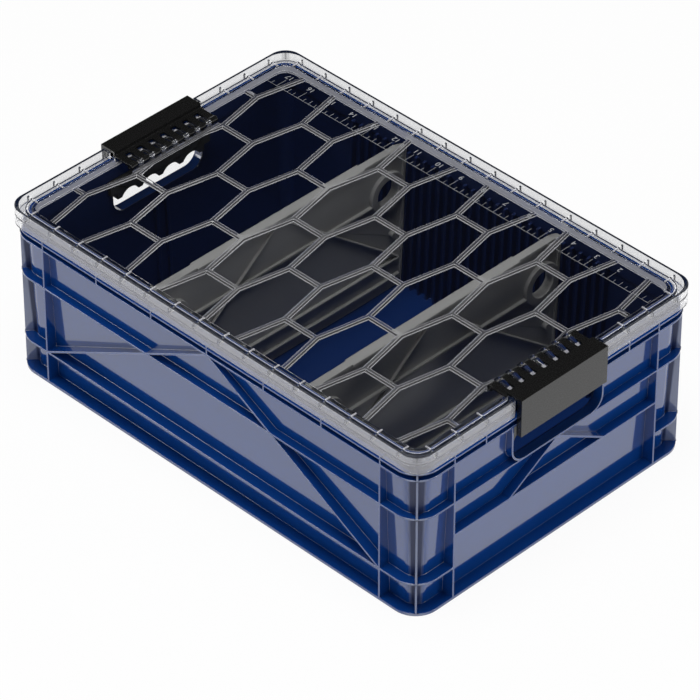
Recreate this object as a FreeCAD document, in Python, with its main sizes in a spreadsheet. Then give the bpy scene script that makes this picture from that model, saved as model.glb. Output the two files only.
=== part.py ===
import FreeCAD, Part
import Sketcher
import os

# Storage crate with a clear snap-on lid, two end latches, two hand grips and two dividers.
# Length runs along X, the latches close the two X ends, and the base rests on z = 0.

doc = FreeCAD.newDocument("StorageCrate")
spec = doc.addObject("Spreadsheet::Sheet", "Spec")
row = 0


def dimension(alias, number):
    """Put one driving size, in millimetres, in the sheet."""
    global row
    row += 1
    spec.set("A%d" % row, alias)
    spec.set("B%d" % row, str(number))
    spec.setAlias("B%d" % row, alias)


# Crate: the envelope of the outside ribs, the wall behind them and the floor
dimension("out_x", 235.3)
dimension("out_y", 159.5)
dimension("out_r", 23.0)
dimension("foot_depth", 11.4)
dimension("draft", 2.24)
dimension("rib_thick", 1.8)
dimension("wall_thick", 2.5)
dimension("floor_thick", 3.0)
dimension("tub_top", 159.2)
dimension("foot_high", 3.0)
dimension("lip_out", 8.3)
dimension("lip_in", 10.6)
# Heights of the outside ribs and of the double rim flange
dimension("rib_low", 32.9)
dimension("rib_mid", 66.4)
dimension("rib_high", 99.4)
dimension("flange_low", 138.5)
dimension("flange_high", 144.6)
dimension("flange_thick", 1.4)
dimension("web_top", 147.4)
# Upright ribs, rim webs and the braces on the long and short sides
dimension("post_x", 194.2)
dimension("post_y", 117.4)
dimension("web_pitch", 64.73)
dimension("web_y", 82.3)
dimension("brace_half", 1.02)
dimension("short_brace_y", 55.0)
# Hand opening in each short side and the rim notch above it
dimension("pull_y", 53.1)
dimension("pull_r", 14.6)
dimension("pull_top", 136.4)
dimension("rim_notch_y", 53.0)
dimension("rim_notch_z", 156.6)
# Divider slots inside the long walls and the slot on each short wall
dimension("slot_pitch", 9.36)
dimension("slot_start", -141.38)
dimension("slot_count", 32)
dimension("slot_wide", 2.4)
dimension("slot_deep", 5.0)
dimension("slot_top", 140.0)
dimension("end_slot_y", 6.2)
dimension("end_slot_wide", 3.0)
dimension("end_slot_deep", 3.2)
dimension("end_slot_top", 92.0)

# Lid: outer skirt, open gutter, hollow crest over the crate's lip and the recessed panel
dimension("lid_x", 235.65)
dimension("lid_y", 160.2)
dimension("lid_r", 16.0)
dimension("lid_inner_r", 20.0)
dimension("lid_r_fall", 0.6)
dimension("lid_top", 165.3)
dimension("skirt_z", 148.0)
dimension("skirt_thick", 1.6)
dimension("gutter_in", 6.2)
dimension("gutter_z", 157.0)
dimension("crest_wall", 7.8)
dimension("crest_hollow", 11.2)
dimension("crest_in", 13.3)
dimension("crest_z", 161.3)
dimension("hollow_z", 159.5)
dimension("panel_in", 14.6)
dimension("slope", 14.0)
dimension("rib_top_z", 156.6)
dimension("panel_z", 154.8)
dimension("panel_under", 153.0)
dimension("lid_wall", 1.8)
# Long hexagons moulded on the panel
dimension("cell_x", 90.2)
dimension("cell_y", 98.3)
dimension("cell_edge", 17.6)
dimension("cell_rib", 3.0)
dimension("cell_slope", 45.0)
dimension("cell_shift_x", -1.1)
dimension("cell_shift_y", 1.35)
# Cross ribs in the gutter
dimension("tie_pitch", 28.45)
dimension("tie_count", 16)
dimension("tie_y", 80.7)
dimension("tie_y_pitch", 28.6)
dimension("tie_thick", 1.4)
dimension("tie_top", 162.2)
# Hinge teeth, pin and notch for each latch
dimension("latch_gap_y", 51.0)
dimension("latch_gap_x", 221.6)
dimension("hinge_x", 206.5)
dimension("hinge_z", 159.8)
dimension("pin_r", 1.25)
dimension("pin_play", 0.05)
dimension("pin_half", 48.4)
dimension("tooth_pitch", 13.0)
dimension("tooth_count", 7)
dimension("tooth_wide", 5.0)
dimension("tooth_gap", 0.5)
dimension("tooth_x", 219.5)
dimension("tooth_top", 162.6)
dimension("tooth_drop", 3.4)
dimension("tooth_fall", 8.0)
dimension("bar_wide", 2.9)
dimension("bar_top", 157.4)

# Latch: front plate, top plate, step and knuckle fingers
dimension("latch_half", 49.5)
dimension("latch_x", 241.2)
dimension("latch_top", 166.0)
dimension("latch_low", 129.5)
dimension("latch_thick", 2.2)
dimension("latch_step", 224.5)
dimension("finger_top", 162.0)
dimension("knuckle_r", 3.0)
dimension("catch_x", 235.9)
dimension("catch_z", 136.8)

# Grip: scalloped bar that hangs in the top of each hand opening
dimension("grip_half", 50.0)
dimension("grip_low", 117.6)
dimension("grip_in", 222.0)
dimension("grip_out", 229.6)
dimension("lobe_pitch", 23.4)
dimension("lobe_half", 2.5)
dimension("finger_r", 10.4)
dimension("grip_lip_half", 57.0)
dimension("grip_lip_low", 123.6)
dimension("grip_lip_high", 137.0)

# Divider: web with a wide top, braces, cross ribs and a finger ring near each end
dimension("right_divider_x", 97.3)
dimension("left_divider_x", -80.54)
dimension("div_half", 148.0)
dimension("div_half_low", 144.0)
dimension("div_low", 3.3)
dimension("div_top", 149.0)
dimension("div_cap", 3.0)
dimension("div_web", 2.0)
dimension("cap_half", 5.0)
dimension("cap_end_half", 3.6)
dimension("cap_step_y", 96.0)
dimension("corner_run", 11.0)
dimension("corner_drop", 3.2)
dimension("end_half", 2.7)
dimension("end_post", 3.6)
dimension("cross_half", 4.0)
dimension("cross_y", 139.0)
dimension("cross_thick", 2.0)
dimension("cross_low", 16.4)
dimension("cross_mid", 34.0)
dimension("cross_high", 102.5)
dimension("ring_y", 124.6)
dimension("ring_z", 109.5)
dimension("ring_r", 19.5)
dimension("ring_hole_r", 12.6)
dimension("ring_half", 4.6)
dimension("peg_y", 131.0)
dimension("peg_z", 62.5)
dimension("peg_r", 2.8)
dimension("peg_half", 5.6)
doc.recompute()


def value(expression):
    """Number that an expression of the sheet gives now."""
    return float(spec.evalExpression(expression.replace("Spec.", "")))


def start_body(label):
    body = doc.addObject("PartDesign::Body", label)
    body.Label = label
    return body


def origin_part(body, role):
    for feature in body.Origin.OriginFeatures:
        if feature.Role == role:
            return feature


def locate(sketch, curve, end, kind, expression):
    """Hold one coordinate of a point to an expression."""
    here = value(expression)
    if abs(here) < 1e-9:
        axis = -2 if kind == "DistanceX" else -1
        sketch.addConstraint(Sketcher.Constraint("PointOnObject", curve, end, axis))
        return
    if here > 0:
        index = sketch.addConstraint(Sketcher.Constraint(kind, -1, 1, curve, end, here))
        sketch.setExpression("Constraints[%d]" % index, expression)
    else:
        index = sketch.addConstraint(Sketcher.Constraint(kind, curve, end, -1, 1, -here))
        sketch.setExpression("Constraints[%d]" % index, "-(%s)" % expression)


def start_sketch(body, name, plane, lift=None):
    sketch = body.newObject("Sketcher::SketchObject", name)
    sketch.AttachmentSupport = [(origin_part(body, plane), "")]
    sketch.MapMode = "FlatFace"
    if lift:
        sketch.setExpression("AttachmentOffset.Base.z", lift)
    return sketch


def draw_loop(sketch, corners):
    """Draw one closed loop; a third entry bends the run to the next corner to that radius."""
    points = []
    for corner in corners:
        points.append(FreeCAD.Vector(value(corner[0]), value(corner[1]), 0))
    curves = []
    for i, corner in enumerate(corners):
        a = points[i]
        b = points[(i + 1) % len(corners)]
        if len(corner) == 2:
            curve = sketch.addGeometry(Part.LineSegment(a, b), False)
            curves.append((curve, 1, 2))
            continue
        inward = corner[2].startswith("in ")
        radius = corner[2][3:] if inward else corner[2]
        r = value(radius)
        middle = (a + b) * 0.5
        chord = b - a
        across = FreeCAD.Vector(-chord.y, chord.x, 0).normalize()
        reach = max(r * r - chord.Length ** 2 / 4.0, 0.0) ** 0.5
        centre = middle - across * reach if inward else middle + across * reach
        circle = Part.Circle(centre, FreeCAD.Vector(0, 0, 1), r)
        first = circle.parameter(b if inward else a)
        last = circle.parameter(a if inward else b)
        curve = sketch.addGeometry(Part.ArcOfCircle(circle, first, last), False)
        curves.append((curve, 2, 1) if inward else (curve, 1, 2))
    for i, corner in enumerate(corners):
        curve, begin, end = curves[i]
        follower, follower_begin, follower_end = curves[(i + 1) % len(corners)]
        sketch.addConstraint(Sketcher.Constraint("Coincident", curve, end, follower, follower_begin))
        locate(sketch, curve, begin, "DistanceX", corner[0])
        locate(sketch, curve, begin, "DistanceY", corner[1])
        if len(corner) == 3:
            radius = corner[2][3:] if corner[2].startswith("in ") else corner[2]
            index = sketch.addConstraint(Sketcher.Constraint("Radius", curve, value(radius)))
            sketch.setExpression("Constraints[%d]" % index, radius)


def draw_circle(sketch, u, v, radius):
    centre = FreeCAD.Vector(value(u), value(v), 0)
    circle = Part.Circle(centre, FreeCAD.Vector(0, 0, 1), value(radius))
    curve = sketch.addGeometry(circle, False)
    locate(sketch, curve, 3, "DistanceX", u)
    locate(sketch, curve, 3, "DistanceY", v)
    index = sketch.addConstraint(Sketcher.Constraint("Radius", curve, value(radius)))
    sketch.setExpression("Constraints[%d]" % index, radius)


def rounded(x, y, r):
    """Corners of a rounded rectangle about the centre."""
    u = "(%s - (%s))" % (x, r)
    v = "(%s - (%s))" % (y, r)
    return [(x, "-" + v), (x, v, r), (u, y), ("-" + u, y, r),
            ("-(%s)" % x, v), ("-(%s)" % x, "-" + v, r), ("-" + u, "-(%s)" % y), (u, "-(%s)" % y, r)]


def inset(depth):
    """Rounded rectangle a given depth inside the lid's outline."""
    return rounded("(Spec.lid_x - %s)" % depth, "(Spec.lid_y - %s)" % depth,
                   "(Spec.lid_inner_r - Spec.lid_r_fall * %s)" % depth)


def rectangle(u0, u1, v0, v1):
    return [(u0, v0), (u1, v0), (u1, v1), (u0, v1)]


def strip_u(u, thick, half):
    """Thin rectangle across the whole width, centred on u."""
    return rectangle("%s - %s / 2" % (u, thick), "%s + %s / 2" % (u, thick), "-%s" % half, half)


def strip_v(v, thick, half):
    """Thin rectangle along the whole length, centred on v."""
    return rectangle("-%s" % half, half, "%s - %s / 2" % (v, thick), "%s + %s / 2" % (v, thick))


def chevron(peak_v, foot_u, foot_v, half):
    """Upright brace pair: down from a peak on the middle line to a foot each side."""
    return [("0", "%s + %s" % (peak_v, half)), ("-%s" % foot_u, "%s + %s" % (foot_v, half)),
            ("-%s" % foot_u, "%s - %s" % (foot_v, half)), ("0", "%s - %s" % (peak_v, half)),
            (foot_u, "%s - %s" % (foot_v, half)), (foot_u, "%s + %s" % (foot_v, half))]


def add(body, name, sketch, length, both=False, back=False):
    feature = body.newObject("PartDesign::Pad", name)
    feature.Profile = sketch
    feature.setExpression("Length", length)
    if both:
        feature.SideType = "Symmetric"
    feature.Reversed = back
    return feature


def cut(body, name, sketch, length, both=False, back=False):
    feature = body.newObject("PartDesign::Pocket", name)
    feature.Profile = sketch
    feature.setExpression("Length", length)
    if both:
        feature.SideType = "Symmetric"
    feature.Reversed = back
    return feature


def repeat(body, name, originals, role, pitch, count):
    """Repeat features along one origin axis."""
    feature = body.newObject("PartDesign::LinearPattern", name)
    feature.Originals = originals
    feature.Direction = (origin_part(body, role), [""])
    feature.Mode = "Spacing"
    feature.setExpression("Offset", pitch)
    feature.setExpression("Occurrences", count)
    body.Tip = feature
    return feature


# Crate tub: one blue moulding, wall and floor stiffened outside by thin ribs
tub = start_body("crate_tub")
envelope = rounded("Spec.out_x", "Spec.out_y", "Spec.out_r")
rim_under = "(Spec.flange_low - Spec.rib_thick / 2)"


def wall_set_back(height, thick="0"):
    """Depth of the drafted wall's face behind the ribs at a height, plus a part of its thickness."""
    return "(Spec.foot_depth - %s * tan(Spec.draft) + %s)" % (height, thick)


def wall_loop(height, thick="0"):
    """Outline of the drafted wall at a height."""
    back = wall_set_back(height, thick)
    return rounded("(Spec.out_x - %s)" % back, "(Spec.out_y - %s)" % back, "(Spec.out_r - %s)" % back)


sketch = start_sketch(tub, "TubWallOutline", "XY_Plane")
draw_loop(sketch, wall_loop("0"))
wall = add(tub, "TubWall", sketch, rim_under)
wall.setExpression("TaperAngle", "Spec.draft")

sketch = start_sketch(tub, "TubLipOutline", "XY_Plane", rim_under)
draw_loop(sketch, inset("Spec.lip_out"))
add(tub, "TubLip", sketch, "Spec.tub_top - %s" % rim_under)

sketch = start_sketch(tub, "TubFootOutline", "XY_Plane")
draw_loop(sketch, envelope)
add(tub, "TubFoot", sketch, "Spec.foot_high")

for name, height, thick in (("TubRibHigh", "Spec.rib_high", "Spec.rib_thick"),
                            ("TubFlangeLow", "Spec.flange_low", "Spec.rib_thick"),
                            ("TubFlangeHigh", "Spec.flange_high", "Spec.flange_thick")):
    sketch = start_sketch(tub, name + "Outline", "XY_Plane", "%s - %s / 2" % (height, thick))
    draw_loop(sketch, envelope)
    add(tub, name, sketch, thick)

# The low rib runs along the long sides and round the corners only
notch_x = "(Spec.out_x - %s)" % wall_set_back("Spec.rib_low", "Spec.wall_thick / 2")
straight_x = "(Spec.out_x - Spec.out_r)"
straight_y = "(Spec.out_y - Spec.out_r)"
low_rib = [(notch_x, "-Spec.post_y"), (notch_x, "Spec.post_y"), ("Spec.out_x", "Spec.post_y"),
           ("Spec.out_x", straight_y, "Spec.out_r"), (straight_x, "Spec.out_y"),
           ("-" + straight_x, "Spec.out_y", "Spec.out_r"), ("-Spec.out_x", straight_y),
           ("-Spec.out_x", "Spec.post_y"), ("-" + notch_x, "Spec.post_y"), ("-" + notch_x, "-Spec.post_y"),
           ("-Spec.out_x", "-Spec.post_y"), ("-Spec.out_x", "-" + straight_y, "Spec.out_r"),
           ("-" + straight_x, "-Spec.out_y"), (straight_x, "-Spec.out_y", "Spec.out_r"),
           ("Spec.out_x", "-" + straight_y), ("Spec.out_x", "-Spec.post_y")]
sketch = start_sketch(tub, "TubRibLowOutline", "XY_Plane", "Spec.rib_low - Spec.rib_thick / 2")
draw_loop(sketch, low_rib)
add(tub, "TubRibLow", sketch, "Spec.rib_thick")

# The middle rib crosses the short sides only
sketch = start_sketch(tub, "TubRibMidOutline", "XY_Plane", "Spec.rib_mid - Spec.rib_thick / 2")
draw_loop(sketch, rectangle("-Spec.out_x", "Spec.out_x", "-Spec.post_y", "Spec.post_y"))
add(tub, "TubRibMid", sketch, "Spec.rib_thick")

sketch = start_sketch(tub, "TubPostsLongOutline", "XY_Plane")
for side in ("Spec.post_x", "-Spec.post_x"):
    draw_loop(sketch, strip_u(side, "Spec.rib_thick", "Spec.out_y"))
add(tub, "TubPostsLong", sketch, "Spec.flange_low")

sketch = start_sketch(tub, "TubPostsShortOutline", "XY_Plane")
for side in ("Spec.post_y", "-Spec.post_y"):
    draw_loop(sketch, strip_v(side, "Spec.rib_thick", "Spec.out_x"))
add(tub, "TubPostsShort", sketch, "Spec.flange_low")

# One upright rib on the diagonal of each corner
sketch = start_sketch(tub, "TubCornerRibsOutline", "XY_Plane")
half_run = "Spec.rib_thick * 0.35355"
reach = "(Spec.out_r - 0.05) * 0.70711"
for sx in (1, -1):
    for sy in (1, -1):
        corner_x = "%d * (Spec.out_x - Spec.out_r)" % sx
        corner_y = "%d * (Spec.out_y - Spec.out_r)" % sy
        draw_loop(sketch, [
            ("%s + %d * %s" % (corner_x, sx, half_run), "%s - %d * %s" % (corner_y, sy, half_run)),
            ("%s + %d * (%s + %s)" % (corner_x, sx, reach, half_run),
             "%s + %d * (%s - %s)" % (corner_y, sy, reach, half_run)),
            ("%s + %d * (%s - %s)" % (corner_x, sx, reach, half_run),
             "%s + %d * (%s + %s)" % (corner_y, sy, reach, half_run)),
            ("%s - %d * %s" % (corner_x, sx, half_run), "%s + %d * %s" % (corner_y, sy, half_run))])
add(tub, "TubCornerRibs", sketch, "Spec.web_top")

# Small webs tie the two rim flanges together
sketch = start_sketch(tub, "TubWebsLongOutline", "XY_Plane", "Spec.flange_low")
for step in range(-3, 4):
    draw_loop(sketch, strip_u("%d * Spec.web_pitch" % step, "Spec.flange_thick", "Spec.out_y"))
add(tub, "TubWebsLong", sketch, "Spec.web_top - Spec.flange_low")

sketch = start_sketch(tub, "TubWebsShortOutline", "XY_Plane", "Spec.flange_low")
for place in ("Spec.web_y", "-Spec.web_y", "Spec.post_y", "-Spec.post_y"):
    draw_loop(sketch, strip_v(place, "Spec.flange_thick", "Spec.out_x"))
add(tub, "TubWebsShort", sketch, "Spec.web_top - Spec.flange_low")

sketch = start_sketch(tub, "TubBraceLongOutline", "XZ_Plane")
draw_loop(sketch, chevron("Spec.flange_low", "Spec.post_x", "Spec.rib_low", "Spec.brace_half"))
add(tub, "TubBraceLong", sketch, "2 * Spec.out_y", both=True)

sketch = start_sketch(tub, "TubBraceShortOutline", "YZ_Plane")
draw_loop(sketch, chevron("Spec.rib_high", "Spec.short_brace_y", "Spec.rib_mid", "Spec.brace_half"))
add(tub, "TubBraceShort", sketch, "2 * Spec.out_x", both=True)

# The hand opening is framed by a rib with rounded lower corners
sill = "(Spec.rib_high - Spec.rib_thick / 2)"
frame_y = "(Spec.pull_y - Spec.pull_r)"
frame_z = "(%s + Spec.pull_r)" % sill
hole_y = "(Spec.pull_y - Spec.rib_thick)"
hole_z = "(%s + Spec.rib_thick)" % sill
hole_r = "(Spec.pull_r - Spec.rib_thick)"
sketch = start_sketch(tub, "TubPullFrameOutline", "YZ_Plane")
draw_loop(sketch, [("-Spec.pull_y", "Spec.flange_low"), ("-Spec.pull_y", frame_z, "Spec.pull_r"),
                   ("-" + frame_y, sill), (frame_y, sill, "Spec.pull_r"),
                   ("Spec.pull_y", frame_z), ("Spec.pull_y", "Spec.flange_low"),
                   (hole_y, "Spec.flange_low"), (hole_y, frame_z, "in " + hole_r),
                   (frame_y, hole_z), ("-" + frame_y, hole_z, "in " + hole_r),
                   ("-" + hole_y, frame_z), ("-" + hole_y, "Spec.flange_low")])
add(tub, "TubPullFrame", sketch, "2 * Spec.out_x", both=True)

sketch = start_sketch(tub, "TubCavityOutline", "XY_Plane", rim_under)
draw_loop(sketch, wall_loop(rim_under, "Spec.wall_thick"))
cavity = cut(tub, "TubCavity", sketch, "%s - Spec.floor_thick" % rim_under)
cavity.setExpression("TaperAngle", "-Spec.draft")

sketch = start_sketch(tub, "TubMouthOutline", "XY_Plane", "Spec.tub_top")
draw_loop(sketch, inset("Spec.lip_in"))
cut(tub, "TubMouth", sketch, "Spec.tub_top - %s + 0.5" % rim_under)

sketch = start_sketch(tub, "TubPullHoleOutline", "YZ_Plane")
draw_loop(sketch, [("-" + hole_y, "Spec.pull_top"), ("-" + hole_y, frame_z, hole_r),
                   ("-" + frame_y, hole_z), (frame_y, hole_z, hole_r),
                   (hole_y, frame_z), (hole_y, "Spec.pull_top")])
cut(tub, "TubPullHole", sketch, "2 * Spec.out_x + 20", both=True)

# The lip is lower under each latch
sketch = start_sketch(tub, "TubRimNotchOutline", "XY_Plane", "Spec.tub_top")
draw_loop(sketch, rectangle("-Spec.out_x", "Spec.out_x", "-Spec.rim_notch_y", "Spec.rim_notch_y"))
cut(tub, "TubRimNotch", sketch, "Spec.tub_top - Spec.rim_notch_z")

# Upright ribs inside the long walls leave a slot for a divider between each pair
low_z = "Spec.floor_thick / 2"


def lean_rib(half, top, deep):
    """Upright rib on the drafted inside of a wall, from the floor to its top."""
    root = "Spec.wall_thick / 2"
    tip = "Spec.wall_thick + %s" % deep
    return [("%s - %s" % (half, wall_set_back(low_z, tip)), low_z),
            ("%s - %s" % (half, wall_set_back(low_z, root)), low_z),
            ("%s - %s" % (half, wall_set_back(top, root)), top),
            ("%s - %s" % (half, wall_set_back(top, tip)), top)]


def mirrored(corners):
    """The same loop on the other side of the middle."""
    return [("-(%s)" % u, v) for u, v in reversed(corners)]


sketch = start_sketch(tub, "TubSlotRibOutline", "YZ_Plane", "Spec.slot_start")
slot_rib = lean_rib("Spec.out_y", "Spec.slot_top", "Spec.slot_deep")
draw_loop(sketch, slot_rib)
draw_loop(sketch, mirrored(slot_rib))
first_rib = add(tub, "TubSlotRib", sketch, "Spec.slot_wide", both=True)
repeat(tub, "TubSlotRibs", [first_rib], "X_Axis", "Spec.slot_pitch", "Spec.slot_count")

# A pair of ribs low on each short wall makes one slot the other way
for name, side in (("TubEndSlotFront", "Spec.end_slot_y"), ("TubEndSlotBack", "-Spec.end_slot_y")):
    sketch = start_sketch(tub, name + "Outline", "XZ_Plane", side)
    end_rib = lean_rib("Spec.out_x", "Spec.end_slot_top", "Spec.end_slot_deep")
    draw_loop(sketch, end_rib)
    draw_loop(sketch, mirrored(end_rib))
    add(tub, name, sketch, "Spec.end_slot_wide", both=True)

# Lid: one clear moulding, the panel with its long hexagons first, then the border round it
lid = start_body("lid")
sketch = start_sketch(lid, "LidPanelOutline", "XY_Plane", "Spec.panel_under")
draw_loop(sketch, inset("1"))
add(lid, "LidPanel", sketch, "Spec.rib_top_z - Spec.panel_under")


def hexagon(u, v):
    """One long hexagon between the tops of the moulded ribs, centred on u, v."""
    gap = "(Spec.cell_rib - (Spec.rib_top_z - Spec.panel_z) * tan(Spec.cell_slope))"
    edge = "(Spec.cell_edge - %s * 0.8)" % gap
    waist = "(Spec.cell_x / 2 - Spec.cell_edge - %s)" % gap
    tall = "(Spec.cell_y / 2 - %s)" % gap
    return [("%s + %s" % (u, waist), v), ("%s + %s" % (u, edge), "%s + %s" % (v, tall)),
            ("%s - %s" % (u, edge), "%s + %s" % (v, tall)), ("%s - %s" % (u, waist), v),
            ("%s - %s" % (u, edge), "%s - %s" % (v, tall)), ("%s + %s" % (u, edge), "%s - %s" % (v, tall))]


for name, first, rows, across in (("LidCells", "-2 * Spec.cell_x", (-1, 0, 1), "5"),
                                  ("LidCellsOffset", "-2.5 * Spec.cell_x", (-1.5, -0.5, 0.5, 1.5), "6")):
    sketch = start_sketch(lid, name + "Outline", "XY_Plane", "Spec.rib_top_z")
    for row in rows:
        draw_loop(sketch, hexagon("(%s + Spec.cell_shift_x)" % first,
                                  "(%s * Spec.cell_y + Spec.cell_shift_y)" % row))
    cell = cut(lid, name + "First", sketch, "Spec.rib_top_z - Spec.panel_z")
    cell.setExpression("TaperAngle", "-Spec.cell_slope")
    repeat(lid, name, [cell], "X_Axis", "Spec.cell_x", across)

sketch = start_sketch(lid, "LidBorderOutline", "XY_Plane", "Spec.skirt_z")
draw_loop(sketch, rounded("Spec.lid_x", "Spec.lid_y", "Spec.lid_r"))
draw_loop(sketch, inset("Spec.panel_in"))
add(lid, "LidBorder", sketch, "Spec.lid_top - Spec.skirt_z")

sketch = start_sketch(lid, "LidGutterOutline", "XY_Plane", "Spec.lid_top")
draw_loop(sketch, inset("Spec.skirt_thick"))
draw_loop(sketch, inset("Spec.gutter_in"))
cut(lid, "LidGutter", sketch, "Spec.lid_top - Spec.gutter_z")

sketch = start_sketch(lid, "LidCrestOutline", "XY_Plane", "Spec.lid_top")
draw_loop(sketch, inset("Spec.gutter_in"))
cut(lid, "LidCrest", sketch, "Spec.lid_top - Spec.crest_z")

# The crest slopes down to the panel on its inner side
sketch = start_sketch(lid, "LidSlopeOutline", "XY_Plane", "Spec.crest_z")
draw_loop(sketch, inset("Spec.crest_in"))
slope = cut(lid, "LidSlope", sketch, "Spec.crest_z - Spec.rib_top_z")
slope.setExpression("TaperAngle", "-Spec.slope")

# Under the border: the skirt's bay, the underside of the gutter and the hollow for the crate's lip
sketch = start_sketch(lid, "LidBayOutline", "XY_Plane", "Spec.skirt_z")
draw_loop(sketch, inset("Spec.skirt_thick"))
cut(lid, "LidBay", sketch, "Spec.panel_under - Spec.skirt_z", back=True)

sketch = start_sketch(lid, "LidGutterUnderOutline", "XY_Plane", "Spec.panel_under")
draw_loop(sketch, inset("Spec.skirt_thick"))
draw_loop(sketch, inset("Spec.crest_hollow"))
cut(lid, "LidGutterUnder", sketch, "Spec.gutter_z - Spec.lid_wall - Spec.panel_under", back=True)

sketch = start_sketch(lid, "LidHollowOutline", "XY_Plane", "Spec.panel_under")
draw_loop(sketch, inset("Spec.crest_wall"))
draw_loop(sketch, inset("Spec.crest_hollow"))
cut(lid, "LidHollow", sketch, "Spec.hollow_z - Spec.panel_under", back=True)

# Cross ribs stand in the gutter on all four sides and run on over the crest
for name, reach, foot in (("Low", "(Spec.gutter_in + 0.6)", "(Spec.gutter_z - Spec.lid_wall / 2)"),
                          ("High", "Spec.crest_in", "(Spec.crest_z - Spec.lid_wall / 2)")):
    sketch = start_sketch(lid, "LidTieLong%sOutline" % name, "XY_Plane", foot)
    for side in (1, -1):
        near = "%d * (Spec.lid_y - %s)" % (side, reach)
        far = "%d * (Spec.lid_y - Spec.skirt_thick / 2)" % side
        low, high = (near, far) if side > 0 else (far, near)
        start = "-(Spec.tie_count - 1) * Spec.tie_pitch / 2"
        draw_loop(sketch, rectangle("%s - Spec.tie_thick / 2" % start,
                                    "%s + Spec.tie_thick / 2" % start, low, high))
    tie = add(lid, "LidTieLong" + name, sketch, "Spec.tie_top - %s" % foot)
    repeat(lid, "LidTiesLong" + name, [tie], "X_Axis", "Spec.tie_pitch", "Spec.tie_count")

    sketch = start_sketch(lid, "LidTieShort%sOutline" % name, "XY_Plane", foot)
    for end in (1, -1):
        near = "%d * (Spec.lid_x - %s)" % (end, reach)
        far = "%d * (Spec.lid_x - Spec.skirt_thick / 2)" % end
        low, high = (near, far) if end > 0 else (far, near)
        for start in ("Spec.tie_y", "-Spec.tie_y - 2 * Spec.tie_y_pitch"):
            draw_loop(sketch, rectangle(low, high, "%s - Spec.tie_thick / 2" % start,
                                        "%s + Spec.tie_thick / 2" % start))
    tie = add(lid, "LidTieShort" + name, sketch, "Spec.tie_top - %s" % foot)
    repeat(lid, "LidTiesShort" + name, [tie], "Y_Axis", "Spec.tie_y_pitch", "3")

# The border is cut away at both ends for the latches, and the gutter is closed there
sketch = start_sketch(lid, "LidLatchGapOutline", "XY_Plane", "Spec.lid_top")
for end in (1, -1):
    near = "%d * Spec.latch_gap_x" % end
    far = "%d * (Spec.lid_x + 3)" % end
    low, high = (near, far) if end > 0 else (far, near)
    draw_loop(sketch, rectangle(low, high, "-Spec.latch_gap_y", "Spec.latch_gap_y"))
cut(lid, "LidLatchGap", sketch, "Spec.lid_top - Spec.skirt_z + 2")

sketch = start_sketch(lid, "LidGutterEndOutline", "XY_Plane", "Spec.gutter_z - Spec.lid_wall")
for end in (1, -1):
    near = "%d * (Spec.lid_x - Spec.crest_wall)" % end
    far = "%d * (Spec.lid_x)" % end
    low, high = (near, far) if end > 0 else (far, near)
    for side in (1, -1):
        face = "%d * Spec.latch_gap_y" % side
        back = "%d * (Spec.latch_gap_y + Spec.skirt_thick)" % side
        first, last = (face, back) if side > 0 else (back, face)
        draw_loop(sketch, rectangle(low, high, first, last))
add(lid, "LidGutterEnd", sketch, "Spec.lid_top - Spec.gutter_z + Spec.lid_wall")

# A low bar on the panel stiffens the feet of the hinge teeth
bar_foot = "(Spec.panel_under + Spec.panel_z) / 2"
sketch = start_sketch(lid, "LidHingeBarOutline", "XY_Plane", bar_foot)
for end in (1, -1):
    near = "%d * (Spec.hinge_x - Spec.knuckle_r - Spec.bar_wide)" % end
    far = "%d * (Spec.hinge_x - Spec.knuckle_r - 0.1)" % end
    low, high = (near, far) if end > 0 else (far, near)
    draw_loop(sketch, rectangle(low, high, "-Spec.latch_half", "Spec.latch_half"))
add(lid, "LidHingeBar", sketch, "Spec.bar_top - %s" % bar_foot)

# Hinge teeth stand on the panel and carry the pin
sketch = start_sketch(lid, "LidToothOutline", "XZ_Plane", "3 * Spec.tooth_pitch")
for end in (1, -1):
    tooth_in = "Spec.hinge_x - Spec.knuckle_r - 0.4"
    tooth_root = "(Spec.panel_under + Spec.panel_z) / 2"
    corners = [(tooth_in, tooth_root), ("Spec.tooth_x", tooth_root),
               ("Spec.tooth_x", "Spec.tooth_top - Spec.tooth_drop"),
               ("Spec.tooth_x - Spec.tooth_fall", "Spec.tooth_top"), (tooth_in, "Spec.tooth_top")]
    draw_loop(sketch, corners if end > 0 else mirrored(corners))
tooth = add(lid, "LidTooth", sketch, "Spec.tooth_wide", both=True)
repeat(lid, "LidTeeth", [tooth], "Y_Axis", "Spec.tooth_pitch", "Spec.tooth_count")

sketch = start_sketch(lid, "LidPinHoleOutline", "XZ_Plane")
for end in ("Spec.hinge_x", "-Spec.hinge_x"):
    draw_circle(sketch, end, "Spec.hinge_z", "Spec.pin_r + Spec.pin_play")
cut(lid, "LidPinHole", sketch, "2 * Spec.latch_half", both=True)


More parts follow.
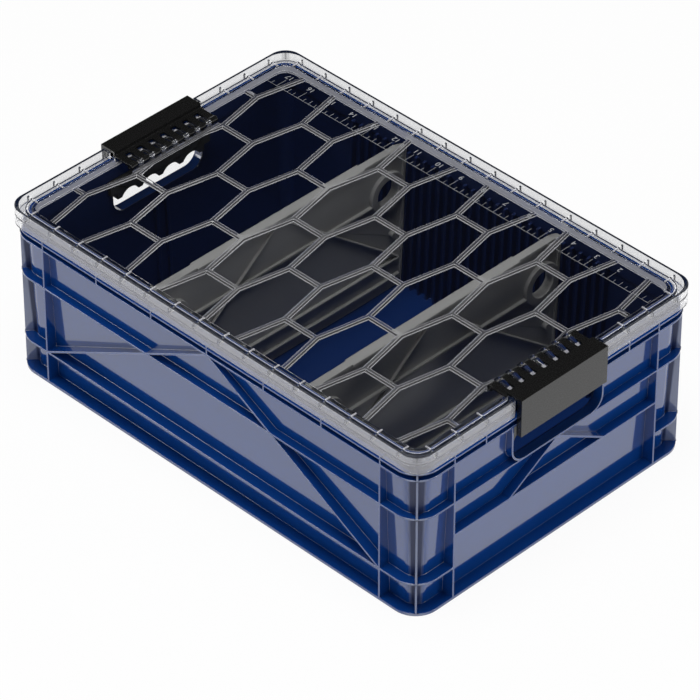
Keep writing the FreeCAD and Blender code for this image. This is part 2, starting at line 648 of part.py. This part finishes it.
def build_latch(label):
    """Black latch that swings on its pin and snaps over the rim at the +X end."""
    body = start_body(label)
    inside = "(Spec.latch_x - Spec.latch_thick)"
    ceiling = "(Spec.latch_top - Spec.latch_thick)"
    sketch = start_sketch(body, label + "_side", "XZ_Plane")
    draw_loop(sketch, [("Spec.latch_x", "Spec.latch_low"), ("Spec.latch_x", "Spec.latch_top"),
                       ("Spec.latch_step", "Spec.latch_top"), ("Spec.latch_step", "Spec.finger_top"),
                       ("Spec.hinge_x", "Spec.finger_top"),
                       ("Spec.hinge_x", "Spec.finger_top - Spec.latch_thick"),
                       ("Spec.latch_step + Spec.latch_thick", "Spec.finger_top - Spec.latch_thick"),
                       ("Spec.latch_step + Spec.latch_thick", ceiling), (inside, ceiling),
                       (inside, "Spec.catch_z + 1.6"), ("Spec.catch_x", "Spec.catch_z"),
                       ("Spec.catch_x", "Spec.catch_z - 2"), (inside, "Spec.catch_z - 4.4"),
                       (inside, "Spec.latch_low")])
    add(body, label + "_plate", sketch, "2 * Spec.latch_half", both=True)
    for cheek, place in (("_left_cheek", "Spec.latch_half - Spec.latch_thick"),
                         ("_right_cheek", "-Spec.latch_half")):
        sketch = start_sketch(body, label + cheek + "_outline", "XZ_Plane", place)
        draw_loop(sketch, rectangle("Spec.catch_x", "Spec.latch_x", "Spec.latch_low", "Spec.latch_top"))
        add(body, label + cheek, sketch, "Spec.latch_thick")
    sketch = start_sketch(body, label + "_knuckle", "XZ_Plane")
    draw_circle(sketch, "Spec.hinge_x", "Spec.hinge_z", "Spec.knuckle_r")
    add(body, label + "_barrel", sketch, "2 * Spec.latch_half", both=True)
    sketch = start_sketch(body, label + "_tooth_space", "XY_Plane", "Spec.latch_top")
    space = "Spec.tooth_wide / 2 + Spec.tooth_gap"
    draw_loop(sketch, rectangle("Spec.hinge_x - 2 * Spec.knuckle_r", "Spec.tooth_x + 4 * Spec.tooth_gap",
                                "-3 * Spec.tooth_pitch - (%s)" % space,
                                "-3 * Spec.tooth_pitch + (%s)" % space))
    first = cut(body, label + "_space", sketch, "Spec.latch_top - Spec.panel_under")
    repeat(body, label + "_spaces", [first], "Y_Axis", "Spec.tooth_pitch", "Spec.tooth_count")
    sketch = start_sketch(body, label + "_bore", "XZ_Plane")
    draw_circle(sketch, "Spec.hinge_x", "Spec.hinge_z", "Spec.pin_r + Spec.pin_play")
    cut(body, label + "_hole", sketch, "2 * Spec.latch_half + 4", both=True)
    return body


def build_pin(label):
    """Steel hinge pin of one latch."""
    body = start_body(label)
    sketch = start_sketch(body, label + "_round", "XZ_Plane")
    draw_circle(sketch, "Spec.hinge_x", "Spec.hinge_z", "Spec.pin_r")
    add(body, label + "_rod", sketch, "2 * Spec.pin_half", both=True)
    return body


def build_grip(label):
    """Black grip with four finger hollows, clipped in the top of a hand opening."""
    body = start_body(label)
    low = "Spec.grip_low"
    corners = [("-Spec.grip_half", "Spec.pull_top - 0.4"), ("-Spec.grip_half", low)]
    for step in (-2, -1, 0, 1):
        corners.append(("%d * Spec.lobe_pitch + Spec.lobe_half" % step, low, "in Spec.finger_r"))
        corners.append(("%d * Spec.lobe_pitch - Spec.lobe_half" % (step + 1), low))
    corners.append(("Spec.grip_half", low))
    corners.append(("Spec.grip_half", "Spec.pull_top - 0.4"))
    sketch = start_sketch(body, label + "_scallops", "YZ_Plane", "Spec.grip_in")
    draw_loop(sketch, corners)
    add(body, label + "_bar", sketch, "Spec.grip_out - Spec.grip_in")
    sketch = start_sketch(body, label + "_lip_outline", "YZ_Plane", "Spec.grip_in")
    draw_loop(sketch, rectangle("-Spec.grip_lip_half", "Spec.grip_lip_half",
                                "Spec.grip_lip_low", "Spec.grip_lip_high"))
    lip_face = "Spec.out_x - %s" % wall_set_back("Spec.grip_lip_low", "Spec.wall_thick + 0.05")
    add(body, label + "_lip", sketch, "%s - Spec.grip_in" % lip_face)
    return body


def build_divider(label, place):
    """Grey divider that drops into a pair of slots across the crate."""
    body = start_body(label)
    sketch = start_sketch(body, label + "_web_outline", "YZ_Plane")
    draw_loop(sketch, [("-Spec.div_half_low", "Spec.div_low"), ("Spec.div_half_low", "Spec.div_low"),
                       ("Spec.div_half", "Spec.div_top"), ("-Spec.div_half", "Spec.div_top")])
    add(body, label + "_web", sketch, "Spec.div_web", both=True)
    sketch = start_sketch(body, label + "_cap_outline", "XY_Plane", "Spec.div_top - Spec.div_cap")
    wide = "Spec.cap_half"
    slim = "Spec.cap_end_half"
    draw_loop(sketch, [(wide, "-Spec.cap_step_y"), (wide, "Spec.cap_step_y"), (slim, "Spec.cap_step_y"),
                       (slim, "Spec.div_half"), ("-" + slim, "Spec.div_half"),
                       ("-" + slim, "Spec.cap_step_y"),
                       ("-" + wide, "Spec.cap_step_y"), ("-" + wide, "-Spec.cap_step_y"),
                       ("-" + slim, "-Spec.cap_step_y"), ("-" + slim, "-Spec.div_half"),
                       (slim, "-Spec.div_half"), (slim, "-Spec.cap_step_y")])
    add(body, label + "_cap", sketch, "Spec.div_cap")
    sketch = start_sketch(body, label + "_end_outline", "YZ_Plane")
    post = [("Spec.div_half_low - Spec.end_post", "Spec.div_low"), ("Spec.div_half_low", "Spec.div_low"),
            ("Spec.div_half", "Spec.div_top"), ("Spec.div_half - Spec.end_post", "Spec.div_top")]
    draw_loop(sketch, post)
    draw_loop(sketch, mirrored(post))
    add(body, label + "_ends", sketch, "2 * Spec.end_half", both=True)
    sketch = start_sketch(body, label + "_corner_outline", "YZ_Plane")
    corner = [("Spec.div_half - Spec.corner_run", "Spec.div_top"),
              ("Spec.div_half + Spec.corner_run", "Spec.div_top - 2 * Spec.corner_drop"),
              ("Spec.div_half + Spec.corner_run", "Spec.div_top")]
    draw_loop(sketch, corner)
    draw_loop(sketch, mirrored(corner))
    cut(body, label + "_corners", sketch, "4 * Spec.cap_half", both=True)
    for name, height in (("low", "Spec.cross_low"), ("mid", "Spec.cross_mid"), ("high", "Spec.cross_high")):
        sketch = start_sketch(body, "%s_%s_outline" % (label, name), "YZ_Plane")
        draw_loop(sketch, rectangle("-Spec.cross_y", "Spec.cross_y", "%s - Spec.cross_thick / 2" % height,
                                    "%s + Spec.cross_thick / 2" % height))
        add(body, "%s_%s_rib" % (label, name), sketch, "2 * Spec.cross_half", both=True)
    sketch = start_sketch(body, label + "_brace_outline", "YZ_Plane")
    draw_loop(sketch, chevron("Spec.div_top - Spec.div_cap", "Spec.cross_y", "Spec.cross_mid",
                              "Spec.brace_half"))
    add(body, label + "_brace", sketch, "2 * Spec.cross_half - 1", both=True)
    sketch = start_sketch(body, label + "_ring_outline", "YZ_Plane")
    for side in ("Spec.ring_y", "-Spec.ring_y"):
        draw_circle(sketch, side, "Spec.ring_z", "Spec.ring_r")
    add(body, label + "_ring", sketch, "2 * Spec.ring_half", both=True)
    sketch = start_sketch(body, label + "_hole_outline", "YZ_Plane")
    for side in ("Spec.ring_y", "-Spec.ring_y"):
        draw_circle(sketch, side, "Spec.ring_z", "Spec.ring_hole_r")
    cut(body, label + "_hole", sketch, "4 * Spec.ring_half", both=True)
    sketch = start_sketch(body, label + "_peg_outline", "YZ_Plane")
    for side in ("Spec.peg_y", "-Spec.peg_y"):
        draw_circle(sketch, side, "Spec.peg_z", "Spec.peg_r")
    add(body, label + "_peg", sketch, "2 * Spec.peg_half", both=True)
    body.setExpression("Placement.Base.x", place)
    return body


# The pieces at the +X end are made in place, and those at the -X end are turned half round
turned = FreeCAD.Placement(FreeCAD.Vector(0, 0, 0), FreeCAD.Rotation(FreeCAD.Vector(0, 0, 1), 180))
bodies = [tub, lid]
for end in ("right", "left"):
    for build, piece in ((build_latch, "latch"), (build_pin, "hinge_pin"), (build_grip, "grip")):
        body = build("%s_%s" % (end, piece))
        if end == "left":
            body.Placement = turned
        bodies.append(body)
    bodies.append(build_divider(end + "_divider", "Spec.%s_divider_x" % end))

doc.recompute()

for thing in doc.Objects:
    if "Invalid" in thing.State or "Error" in thing.State:
        raise RuntimeError("not made: " + thing.Label)

os.makedirs("parts", exist_ok=True)
for body in bodies:
    if body.Shape.isNull() or not body.Shape.isValid() or len(body.Shape.Solids) != 1:
        raise RuntimeError("not one sound solid: " + body.Label)
    body.Shape.exportStep(os.path.join("parts", body.Label + ".step"))
    box = body.Shape.BoundBox
    print("%-16s %8.1f cm3  x %.1f..%.1f  y %.1f..%.1f  z %.1f..%.1f" % (
        body.Label, body.Shape.Volume / 1000, box.XMin, box.XMax, box.YMin, box.YMax, box.ZMin, box.ZMax))
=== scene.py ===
import math
import bpy
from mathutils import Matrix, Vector


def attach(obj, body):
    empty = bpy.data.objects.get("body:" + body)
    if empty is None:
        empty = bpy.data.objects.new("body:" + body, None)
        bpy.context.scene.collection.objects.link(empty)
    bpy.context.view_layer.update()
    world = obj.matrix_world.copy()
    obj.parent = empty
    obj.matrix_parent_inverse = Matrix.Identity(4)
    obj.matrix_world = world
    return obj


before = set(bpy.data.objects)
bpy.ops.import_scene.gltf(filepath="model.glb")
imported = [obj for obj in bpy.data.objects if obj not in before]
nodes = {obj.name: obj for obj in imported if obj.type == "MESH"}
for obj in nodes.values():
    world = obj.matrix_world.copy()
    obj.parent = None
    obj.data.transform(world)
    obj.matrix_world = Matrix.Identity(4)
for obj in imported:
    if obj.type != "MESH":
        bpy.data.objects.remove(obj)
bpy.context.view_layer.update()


# The tub is one blue polypropylene moulding: drafted walls with thin ribs and flanges outside.
# A polished mould leaves it glossy, with a faint flow in its colour and sheen.
# Its inside is painted a darker blue as shade, and its small fillets and rounded corners lighter as painted
# highlights.
class Socket:
    """One output of a material's nodes, so that values can be written as expressions."""

    def __init__(self, tree, output=None):
        self.tree = tree
        self.output = output

    def add(self, kind, settings=None, inputs=None, output=0):
        """One new node: its settings first, then the values or links of its inputs."""
        node = self.tree.nodes.new(kind)
        for name, setting in (settings or {}).items():
            setattr(node, name, setting)
        for name, value in (inputs or {}).items():
            if isinstance(value, Socket):
                self.tree.links.new(value.output, node.inputs[name])
            else:
                node.inputs[name].default_value = value
        return Socket(self.tree, node.outputs[output] if node.outputs else None)

    def math(self, operation, first, second=0.0):
        return self.add("ShaderNodeMath", {"operation": operation}, {0: first, 1: second})

    def __add__(self, other):
        return self.math("ADD", self, other)

    def __radd__(self, other):
        return self.math("ADD", other, self)

    def __sub__(self, other):
        return self.math("SUBTRACT", self, other)

    def __rsub__(self, other):
        return self.math("SUBTRACT", other, self)

    def __mul__(self, other):
        return self.math("MULTIPLY", self, other)

    def __rmul__(self, other):
        return self.math("MULTIPLY", other, self)

    def __abs__(self):
        return self.math("ABSOLUTE", self)


def new_material(name):
    """An empty material, and a socket to build its nodes from."""
    material = bpy.data.materials.new(name)
    material.use_nodes = True
    material.node_tree.nodes.clear()
    return material, Socket(material.node_tree)


def on_piece(start):
    """Places on the piece, in its own metres."""
    return start.add("ShaderNodeTexCoord", output="Object")


def speckle(place, scale, detail=2.0):
    return place.add("ShaderNodeTexNoise", inputs={"Vector": place, "Scale": scale, "Detail": detail})


def split(vector):
    """The three parts of a vector."""
    first = vector.add("ShaderNodeSeparateXYZ", inputs={"Vector": vector})
    return [Socket(vector.tree, part) for part in first.output.node.outputs]


def rising(value, low, high):
    """Nothing at the first limit, all of it at the second."""
    return value.add("ShaderNodeMapRange", inputs={"Value": value, "From Min": low, "From Max": high})


def between(value, low, low_full, high_full, high):
    """All of it between the two middle limits, fading to nothing at the outer ones."""
    return rising(value, low, low_full) * rising(value, high, high_full)


def tinted(amount, under, over):
    """One colour laid over another by an amount that varies."""
    return amount.add("ShaderNodeMix", {"data_type": "RGBA"}, {"Factor": amount, 6: under, 7: over}, output=2)


def surface(start, **sockets):
    """A plain shader, its inputs named as on the node but with low lines for spaces."""
    inputs = {name.replace("_", " "): value for name, value in sockets.items()}
    return start.add("ShaderNodeBsdfPrincipled", inputs=inputs)


def close(start, shader):
    start.add("ShaderNodeOutputMaterial", inputs={"Surface": shader})


def dress(piece, material):
    piece.data.materials.clear()
    piece.data.materials.append(material)


def soften(node, radius, steps=2):
    """Round a moulding's sharp edges."""
    node.modifiers.new("weld", "WELD").merge_threshold = 1e-6
    bevel = node.modifiers.new("edge_radius", "BEVEL")
    bevel.width = radius
    bevel.segments = steps
    bevel.limit_method = "ANGLE"
    bevel.angle_limit = math.radians(25)
    bevel.use_clamp_overlap = False
    node.modifiers.new("even_shading", "WEIGHTED_NORMAL")


wall_lean = 0.0391
cavity_length, cavity_width, cavity_fade = 0.2222, 0.1464, 0.0009
cavity_top, cavity_floor, floor_shade = (0.1520, 0.1500), (0.0040, 0.0080), 0.75
long_wall = (0.1470, 0.1480)
post_ends, post_sides = (0.2085, 0.2095), (0.1325, 0.1335)
fillet_lean, fillet_foot = (0.35, 0.5, 0.88, 0.94), (0.003, 0.006)
face_blue, flow_blue = (0.003, 0.042, 0.215, 1), (0.005, 0.053, 0.26, 1)
shade_blue = (0.0008, 0.012, 0.075, 1)
# Colours of the painted highlights on the fillets and on the rounded corners.
fillet_highlight_colour, corner_highlight_grey = (0.42, 0.47, 0.62, 1), (0.3, 0.33, 0.42, 1)

tub_blue, start = new_material("tub_blue")
place = on_piece(start)
flow = speckle(place, 14.0, 3.0)
grain = speckle(place, 900.0)
bump = start.add("ShaderNodeBump", inputs={"Strength": 0.02, "Distance": 0.0003, "Height": grain})
across, along, height = split(place)
far_x, far_y = abs(across), abs(along)
# Painted shade: the inside of the tub is tinted a darker blue, a little less on its floor; it is also rougher
# there and uncoated.
cavity = (rising(far_x - height * wall_lean, cavity_length + cavity_fade, cavity_length)
          * rising(far_y - height * wall_lean, cavity_width + cavity_fade, cavity_width)
          * rising(height, *cavity_top)
          * (floor_shade + rising(height, *cavity_floor) * (1.0 - floor_shade)))
outer = 1.0 - cavity

# The small fillets outside get a painted highlight, which fades out towards the foot of the tub.
# Fillets are found by how they face: along X on the short sides, along Y on the long ones, up at the corners.
facing = start.add("ShaderNodeVectorMath", {"operation": "ABSOLUTE"},
                   {0: start.add("ShaderNodeNewGeometry", output="Normal")})
out_x, out_y, out_z = split(facing)
long_side = rising(far_y, *long_wall)
corner = rising(far_x, *post_ends) * rising(far_y, *post_sides)
lean = out_x * (1.0 - long_side) + out_y * long_side
fillet_highlight = between(lean, *fillet_lean) * (1.0 - corner) + between(out_z, *fillet_lean) * corner
fillet_highlight = fillet_highlight * outer * (0.1 + rising(height, *fillet_foot) * 0.9)
# The rounded upright corners outside get a painted highlight.
corner_highlight = corner * rising(out_z, 0.3, 0.15) * rising(out_x * out_y, 0.28, 0.44) * outer

blue = tinted(flow, face_blue, flow_blue)
# Painted shade inside the tub.
blue = tinted(cavity, blue, shade_blue)
# Painted highlight on the fillets.
blue = tinted(fillet_highlight * 0.85, blue, fillet_highlight_colour)
# Painted highlight on the rounded corners.
blue = tinted(corner_highlight * 0.55, blue, corner_highlight_grey)
close(start, surface(start, Base_Color=blue, Roughness=0.08 + flow * 0.06 + cavity * 0.3, IOR=1.55,
                     Coat_Weight=outer, Coat_Roughness=0.03, Coat_IOR=1.45, Normal=bump))
dress(nodes["crate_tub"], tub_blue)
soften(nodes["crate_tub"], 0.0004)

# The grips are black nylon bars with four finger hollows in each.
# They are moulded, and clipped into the top of the hand openings.
grip_black, start = new_material("grip_black")
grain = speckle(on_piece(start), 1200.0)
close(start, surface(start, Base_Color=(0.045, 0.045, 0.043, 1), Roughness=0.35 + grain * 0.2))
for name in ("left_grip", "right_grip"):
    dress(nodes[name], grip_black)
    soften(nodes[name], 0.0006)

# The dividers are ribbed grey plastic mouldings with a cap and a finger ring near each end.
# They drop into slots between upright ribs inside the long walls.
divider_grey, start = new_material("divider_grey")
flow = speckle(on_piece(start), 20.0, 3.0)
grey = tinted(flow, (0.36, 0.36, 0.355, 1), (0.42, 0.42, 0.415, 1))
close(start, surface(start, Base_Color=grey, Roughness=0.35 + flow * 0.1))
for name in ("left_divider", "right_divider"):
    dress(nodes[name], divider_grey)
    soften(nodes[name], 0.0005)


# The lid is one clear polycarbonate moulding that sits on the rim of the tub.
# From outside in it has a skirt, a gutter with cross ribs, a crest and a panel with long hexagons.
# Its edges and ribs are painted milky white as highlights, and some lines dark as shade, while the flats stay
# clear.
def blended(amount, under, over):
    """One shader laid over another by an amount that varies."""
    return amount.add("ShaderNodeMixShader", inputs={0: amount, 1: under, 2: over})


def most(first, second):
    return first.math("MAXIMUM", first, second)


def least(first, second):
    return first.math("MINIMUM", first, second)


def diffuse(start, colour):
    return start.add("ShaderNodeBsdfDiffuse", inputs={"Color": colour})


def see_through(start, share):
    return start.add("ShaderNodeBsdfTransparent", inputs={"Color": (share, share, share, 1)})


def ray(start, kind):
    """Whether the surface is met by one kind of ray."""
    return start.add("ShaderNodeLightPath", output="Is %s Ray" % kind)


lid_length, lid_width = 0.23565, 0.1602
corner_middle, middle_shift = 0.020, 0.4
panel_top, rib_top, gutter_top, crest_top = 0.1548, 0.1566, 0.1570, 0.1613
# A white for the painted highlights and a near black for the painted shade lines.
highlight_white, painted_shade_dark = (0.92, 0.92, 0.97, 1), (0.006, 0.010, 0.024, 1)

lid_clear, start = new_material("lid_clear")
place = on_piece(start)
flow = speckle(place, 25.0)
clear = surface(start, Base_Color=(0.97, 0.975, 0.98, 1), Roughness=0.01 * flow, IOR=1.5,
                Transmission_Weight=1.0)
across, along, height = split(place)
far_y = abs(along)
from_ends = lid_length - abs(across)
from_sides = lid_width - far_y


def from_outline(guess):
    """Distance in from the lid's outline, round its corners too, from a first guess of it."""
    middle = guess * middle_shift + corner_middle
    past = start.add("ShaderNodeCombineXYZ", inputs={"X": most(middle - from_ends, 0.0),
                                                     "Y": most(middle - from_sides, 0.0)})
    return middle - start.add("ShaderNodeVectorMath", {"operation": "LENGTH"}, {0: past}, output="Value")


# The masks below end at distances in from the outline and at heights above the base, in metres.
from_edge = from_outline(from_outline(least(from_ends, from_sides)))
inside_crest = rising(from_edge, 0.0133, 0.0135)
on_panel = rising(from_edge, 0.0146, 0.0149)
on_teeth = on_panel * rising(height, rib_top + 0.0002, rib_top + 0.0004)
below_teeth = 1.0 - on_teeth
tilt = abs(split(start.add("ShaderNodeNewGeometry", output="Normal"))[2])
steep = rising(tilt, 0.88, 0.78)
sloped = rising(tilt, 0.99, 0.96)

# Painted highlights: the masks from here on lay a milky white on the skirt, ribs, rib tops, hinge bars, teeth
# ends, crest, cross ribs and gutter.
skirt = steep * (rising(from_edge, 0.0011, 0.0009) * (0.12 + rising(height, 0.1585, 0.1565) * 0.14))
crest_wall = inside_crest * (1.0 - on_panel)
foot_lines = between(height, panel_top + 0.00003, panel_top + 0.00008, panel_top + 0.0004, panel_top + 0.0006)
top_lines = rising(height, rib_top - 0.0005, rib_top - 0.0003) * on_panel
ribs = sloped * inside_crest * below_teeth * (0.05 + crest_wall * 0.3 + foot_lines * 0.3 + top_lines * 0.22)
rib_tops = rising(height, rib_top - 0.0002, rib_top) * on_panel * below_teeth
hinge_bars = (rising(far_y, 0.0498, 0.0496) * rising(height, 0.1550, 0.1552)
              * between(from_ends, 0.0320, 0.0324, 0.0352, 0.0356))
tooth_ends = on_teeth * between(from_ends, 0.0157, 0.0160, 0.0190, 0.0195)
crest = between(from_edge, 0.0068, 0.0072, 0.0132, 0.0136) * rising(height, crest_top - 0.0002, crest_top)
crest_lines = crest * (between(from_edge, 0.0072, 0.0074, 0.0080, 0.0082) * 0.4
                       + between(from_edge, 0.0089, 0.0091, 0.0094, 0.0096) * 0.15)
cross_ribs = (between(from_edge, 0.0062, 0.0066, 0.0132, 0.0136)
              * rising(height, crest_top + 0.0001, crest_top + 0.0003))
cross_rib_feet = (between(from_edge, 0.0018, 0.0020, 0.0056, 0.0060)
                  * rising(height, gutter_top + 0.0001, gutter_top + 0.0003)
                  * rising(height, gutter_top + 0.0013, gutter_top + 0.0011))
gutter_sides = (between(from_edge, 0.0014, 0.0015, 0.0017, 0.0018)
                + between(from_edge, 0.0059, 0.0061, 0.0064, 0.0066) * rising(height, 0.1592, 0.1588))
gutter_bed = (between(from_edge, 0.0016, 0.0018, 0.0060, 0.0062)
              * rising(height, gutter_top + 0.0003, gutter_top + 0.0001))
painted_highlights = skirt + ribs + rib_tops * 0.05 + hinge_bars * 0.08 + tooth_ends * 0.35
painted_highlights = painted_highlights + crest_lines + cross_rib_feet * 0.9 + (gutter_sides + gutter_bed) * 0.14 + cross_ribs * 0.4
# The painted highlights are mixed over the clear plastic as a white that the lamps light.
edges = blended(least(painted_highlights, 0.9), clear, diffuse(start, highlight_white))

# Painted shade: dark lines along the top of the brim, the crest's outer edge and the sides of the cross ribs.
brim = rising(height, 0.1645, 0.1648)
crest_edge = rising(height, 0.1590, 0.1594) * between(from_edge, 0.0056, 0.0058, 0.0069, 0.0071)
cross_rib_sides = between(from_edge, 0.0017, 0.0018, 0.0027, 0.0031) * rising(height, 0.1578, 0.1580)
painted_shade_lines = most(most(brim * 0.93, crest_edge * 0.92), cross_rib_sides * 0.7)
edges = blended(painted_shade_lines, edges, diffuse(start, painted_shade_dark))

# Mirrored rays and lamp light pass the clear plastic, and so does a little of the sky's light.
passing = blended(ray(start, "Glossy") - ray(start, "Transmission"), edges, see_through(start, 1.0))
passing = blended(ray(start, "Diffuse"), passing, see_through(start, 0.05))
close(start, blended(ray(start, "Shadow"), passing, see_through(start, 0.95)))
dress(nodes["lid"], lid_clear)
soften(nodes["lid"], 0.0004, 3)

# The ruler is a raised line with inch and quarter-inch marks and their figures.
# It is moulded on the lid's panel, along the side away from the camera.
inch = 0.0254
ruler_start, ruler_end, ruler_line = 0.2223, 0.2205, 0.1235
stroke = 0.00034
mark_low, mark_high, mark_lean = 0.15478, 0.15500, 0.00010
mark_foot, mark_reach = 0.0003, (0.0115, 0.0042, 0.0058, 0.0042)
figure_size, figure_depth = 0.0076, 0.00008
figure_shift, figure_height = 0.0162, 0.1549
ruler_points = []
ruler_faces = []


def bar(x0, x1, y0, y1):
    """One raised stroke of the ruler on the panel, with bevelled sides."""
    first = len(ruler_points)
    for z, inset in ((mark_low, 0), (mark_high, mark_lean)):
        ruler_points.extend(((x0 + inset, y0 + inset, z), (x1 - inset, y0 + inset, z),
                             (x1 - inset, y1 - inset, z), (x0 + inset, y1 - inset, z)))
    for face in ((4, 5, 6, 7), (0, 1, 5, 4), (1, 2, 6, 5), (2, 3, 7, 6), (3, 0, 4, 7), (3, 2, 1, 0)):
        ruler_faces.append(tuple(first + corner for corner in face))


bar(-ruler_end, ruler_end, ruler_line - stroke / 2, ruler_line + stroke / 2)
for quarter in range(1, 70):
    x = ruler_start - quarter * inch / 4
    bar(x - stroke / 2, x + stroke / 2, ruler_line + mark_foot, ruler_line + mark_reach[quarter % 4])
ruler_mesh = bpy.data.meshes.new("ruler")
ruler_mesh.from_pydata(ruler_points, [], ruler_faces)
ruler = bpy.data.objects.new("ruler", ruler_mesh)
bpy.context.scene.collection.objects.link(ruler)
figure_white, start = new_material("figure_white")
flow = speckle(on_piece(start), 300.0)
close(start, surface(start, Base_Color=(0.36, 0.37, 0.39, 1), Roughness=0.3 + flow * 0.2))
dress(ruler, figure_white)
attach(ruler, "lid")
for number in range(1, 18):
    curve = bpy.data.curves.new("figure", "FONT")
    curve.body = str(number)
    curve.size = figure_size
    curve.align_x = "CENTER"
    curve.align_y = "CENTER"
    curve.extrude = figure_depth
    shape = bpy.data.objects.new("figure", curve)
    mesh = bpy.data.meshes.new_from_object(shape)
    bpy.data.objects.remove(shape)
    figure = bpy.data.objects.new("ruler_figure_%d" % number, mesh)
    bpy.context.scene.collection.objects.link(figure)
    figure.location = (ruler_start - number * inch, ruler_line + figure_shift, figure_height)
    figure.rotation_euler = (0, 0, math.pi)
    dress(figure, figure_white)
    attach(figure, "lid")

# The hinge pins are lengths of drawn steel wire.
# They are pushed through the lid's teeth, and the latches turn on them.
pin_steel, start = new_material("pin_steel")
drawn = speckle(on_piece(start), 600.0)
close(start, surface(start, Base_Color=(0.5, 0.5, 0.52, 1), Metallic=1.0, Roughness=0.25 + drawn * 0.15))
for name in ("left_hinge_pin", "right_hinge_pin"):
    dress(nodes[name], pin_steel)

# The latches are black satin nylon mouldings with knuckles between the lid's teeth.
# They swing on the pins and close over the rim of the tub.
latch_black, start = new_material("latch_black")
grain = speckle(on_piece(start), 1200.0)
bump = start.add("ShaderNodeBump", inputs={"Strength": 0.03, "Distance": 0.0003, "Height": grain})
close(start, surface(start, Base_Color=(0.006, 0.006, 0.006, 1), Roughness=0.22 + grain * 0.1, IOR=1.6,
                     Normal=bump))
for name in ("left_latch", "right_latch"):
    dress(nodes[name], latch_black)
    soften(nodes[name], 0.0004)

# The studio has a pale floor, a white surround below a dark ceiling, and three soft lamps.
# The floor looks nearly white but keeps the crate's shadow.
floor_size, floor_drop = 12, 0.0005
bpy.ops.mesh.primitive_plane_add(size=floor_size, location=(0, 0, -floor_drop))
floor = bpy.context.object
floor.name = "studio_floor"
floor_pale, start = new_material("floor_pale")
seen = most(most(ray(start, "Camera"), ray(start, "Glossy")), ray(start, "Transmission"))
white = start.add("ShaderNodeEmission", inputs={"Color": (1, 1, 1, 1), "Strength": 1.0})
close(start, blended(seen * 0.94, diffuse(start, (0.9, 0.9, 0.9, 1)), white))
dress(floor, floor_pale)


def backdrop(start, strength):
    return start.add("ShaderNodeBackground", inputs={"Color": (1, 1, 1, 1), "Strength": strength})


world = bpy.data.worlds.new("studio")
bpy.context.scene.world = world
world.use_nodes = True
world.node_tree.nodes.clear()
start = Socket(world.node_tree)
upward = split(start.add("ShaderNodeTexCoord", output="Generated"))[2]
around = blended(rising(upward, 0.20, 0.12), backdrop(start, 0.015), backdrop(start, 1.0))
sky = blended(ray(start, "Diffuse"), around, backdrop(start, 0.25))
start.add("ShaderNodeOutputWorld", inputs={"Surface": sky})
lamp_aim = Vector((0, 0, 0.1))


def softbox(name, place, size, power):
    lamp = bpy.data.lights.new(name, "AREA")
    lamp.shape = "RECTANGLE"
    lamp.size, lamp.size_y = size
    lamp.energy = power
    stand = bpy.data.objects.new(name, lamp)
    bpy.context.scene.collection.objects.link(stand)
    stand.location = place
    stand.rotation_euler = (lamp_aim - Vector(place)).to_track_quat("-Z", "Y").to_euler()


softbox("key_softbox", (0.1, -0.3, 2.2), (1.2, 1.2), 35)
softbox("left_strip", (-1.5, -2.0, 0.4), (0.5, 0.7), 6)
softbox("right_strip", (2.4, 0.8, 0.55), (0.5, 0.7), 10)

# The camera stands at the angle of the photograph, far off and with a long lens.
# Its place was fitted to the edges of the crate in the photograph.
picture_pixels, focal_pixels = 700, 4870
azimuth, elevation, distance = math.radians(45.007), math.radians(38.325), 3.975
camera_aim = Vector((0.02395, -0.021459, 0.08))
camera = bpy.data.cameras.new("camera")
camera.sensor_width = 36
camera.lens = camera.sensor_width * focal_pixels / picture_pixels
camera.clip_end = 30
camera_object = bpy.data.objects.new("camera", camera)
bpy.context.scene.collection.objects.link(camera_object)
back = Vector((math.sin(azimuth) * math.cos(elevation), -math.cos(azimuth) * math.cos(elevation),
               math.sin(elevation)))
camera_object.location = camera_aim + back * distance
camera_object.rotation_euler = (-back).to_track_quat("-Z", "Y").to_euler()
bpy.context.scene.camera = camera_object
bpy.context.scene.view_settings.view_transform = "Standard"
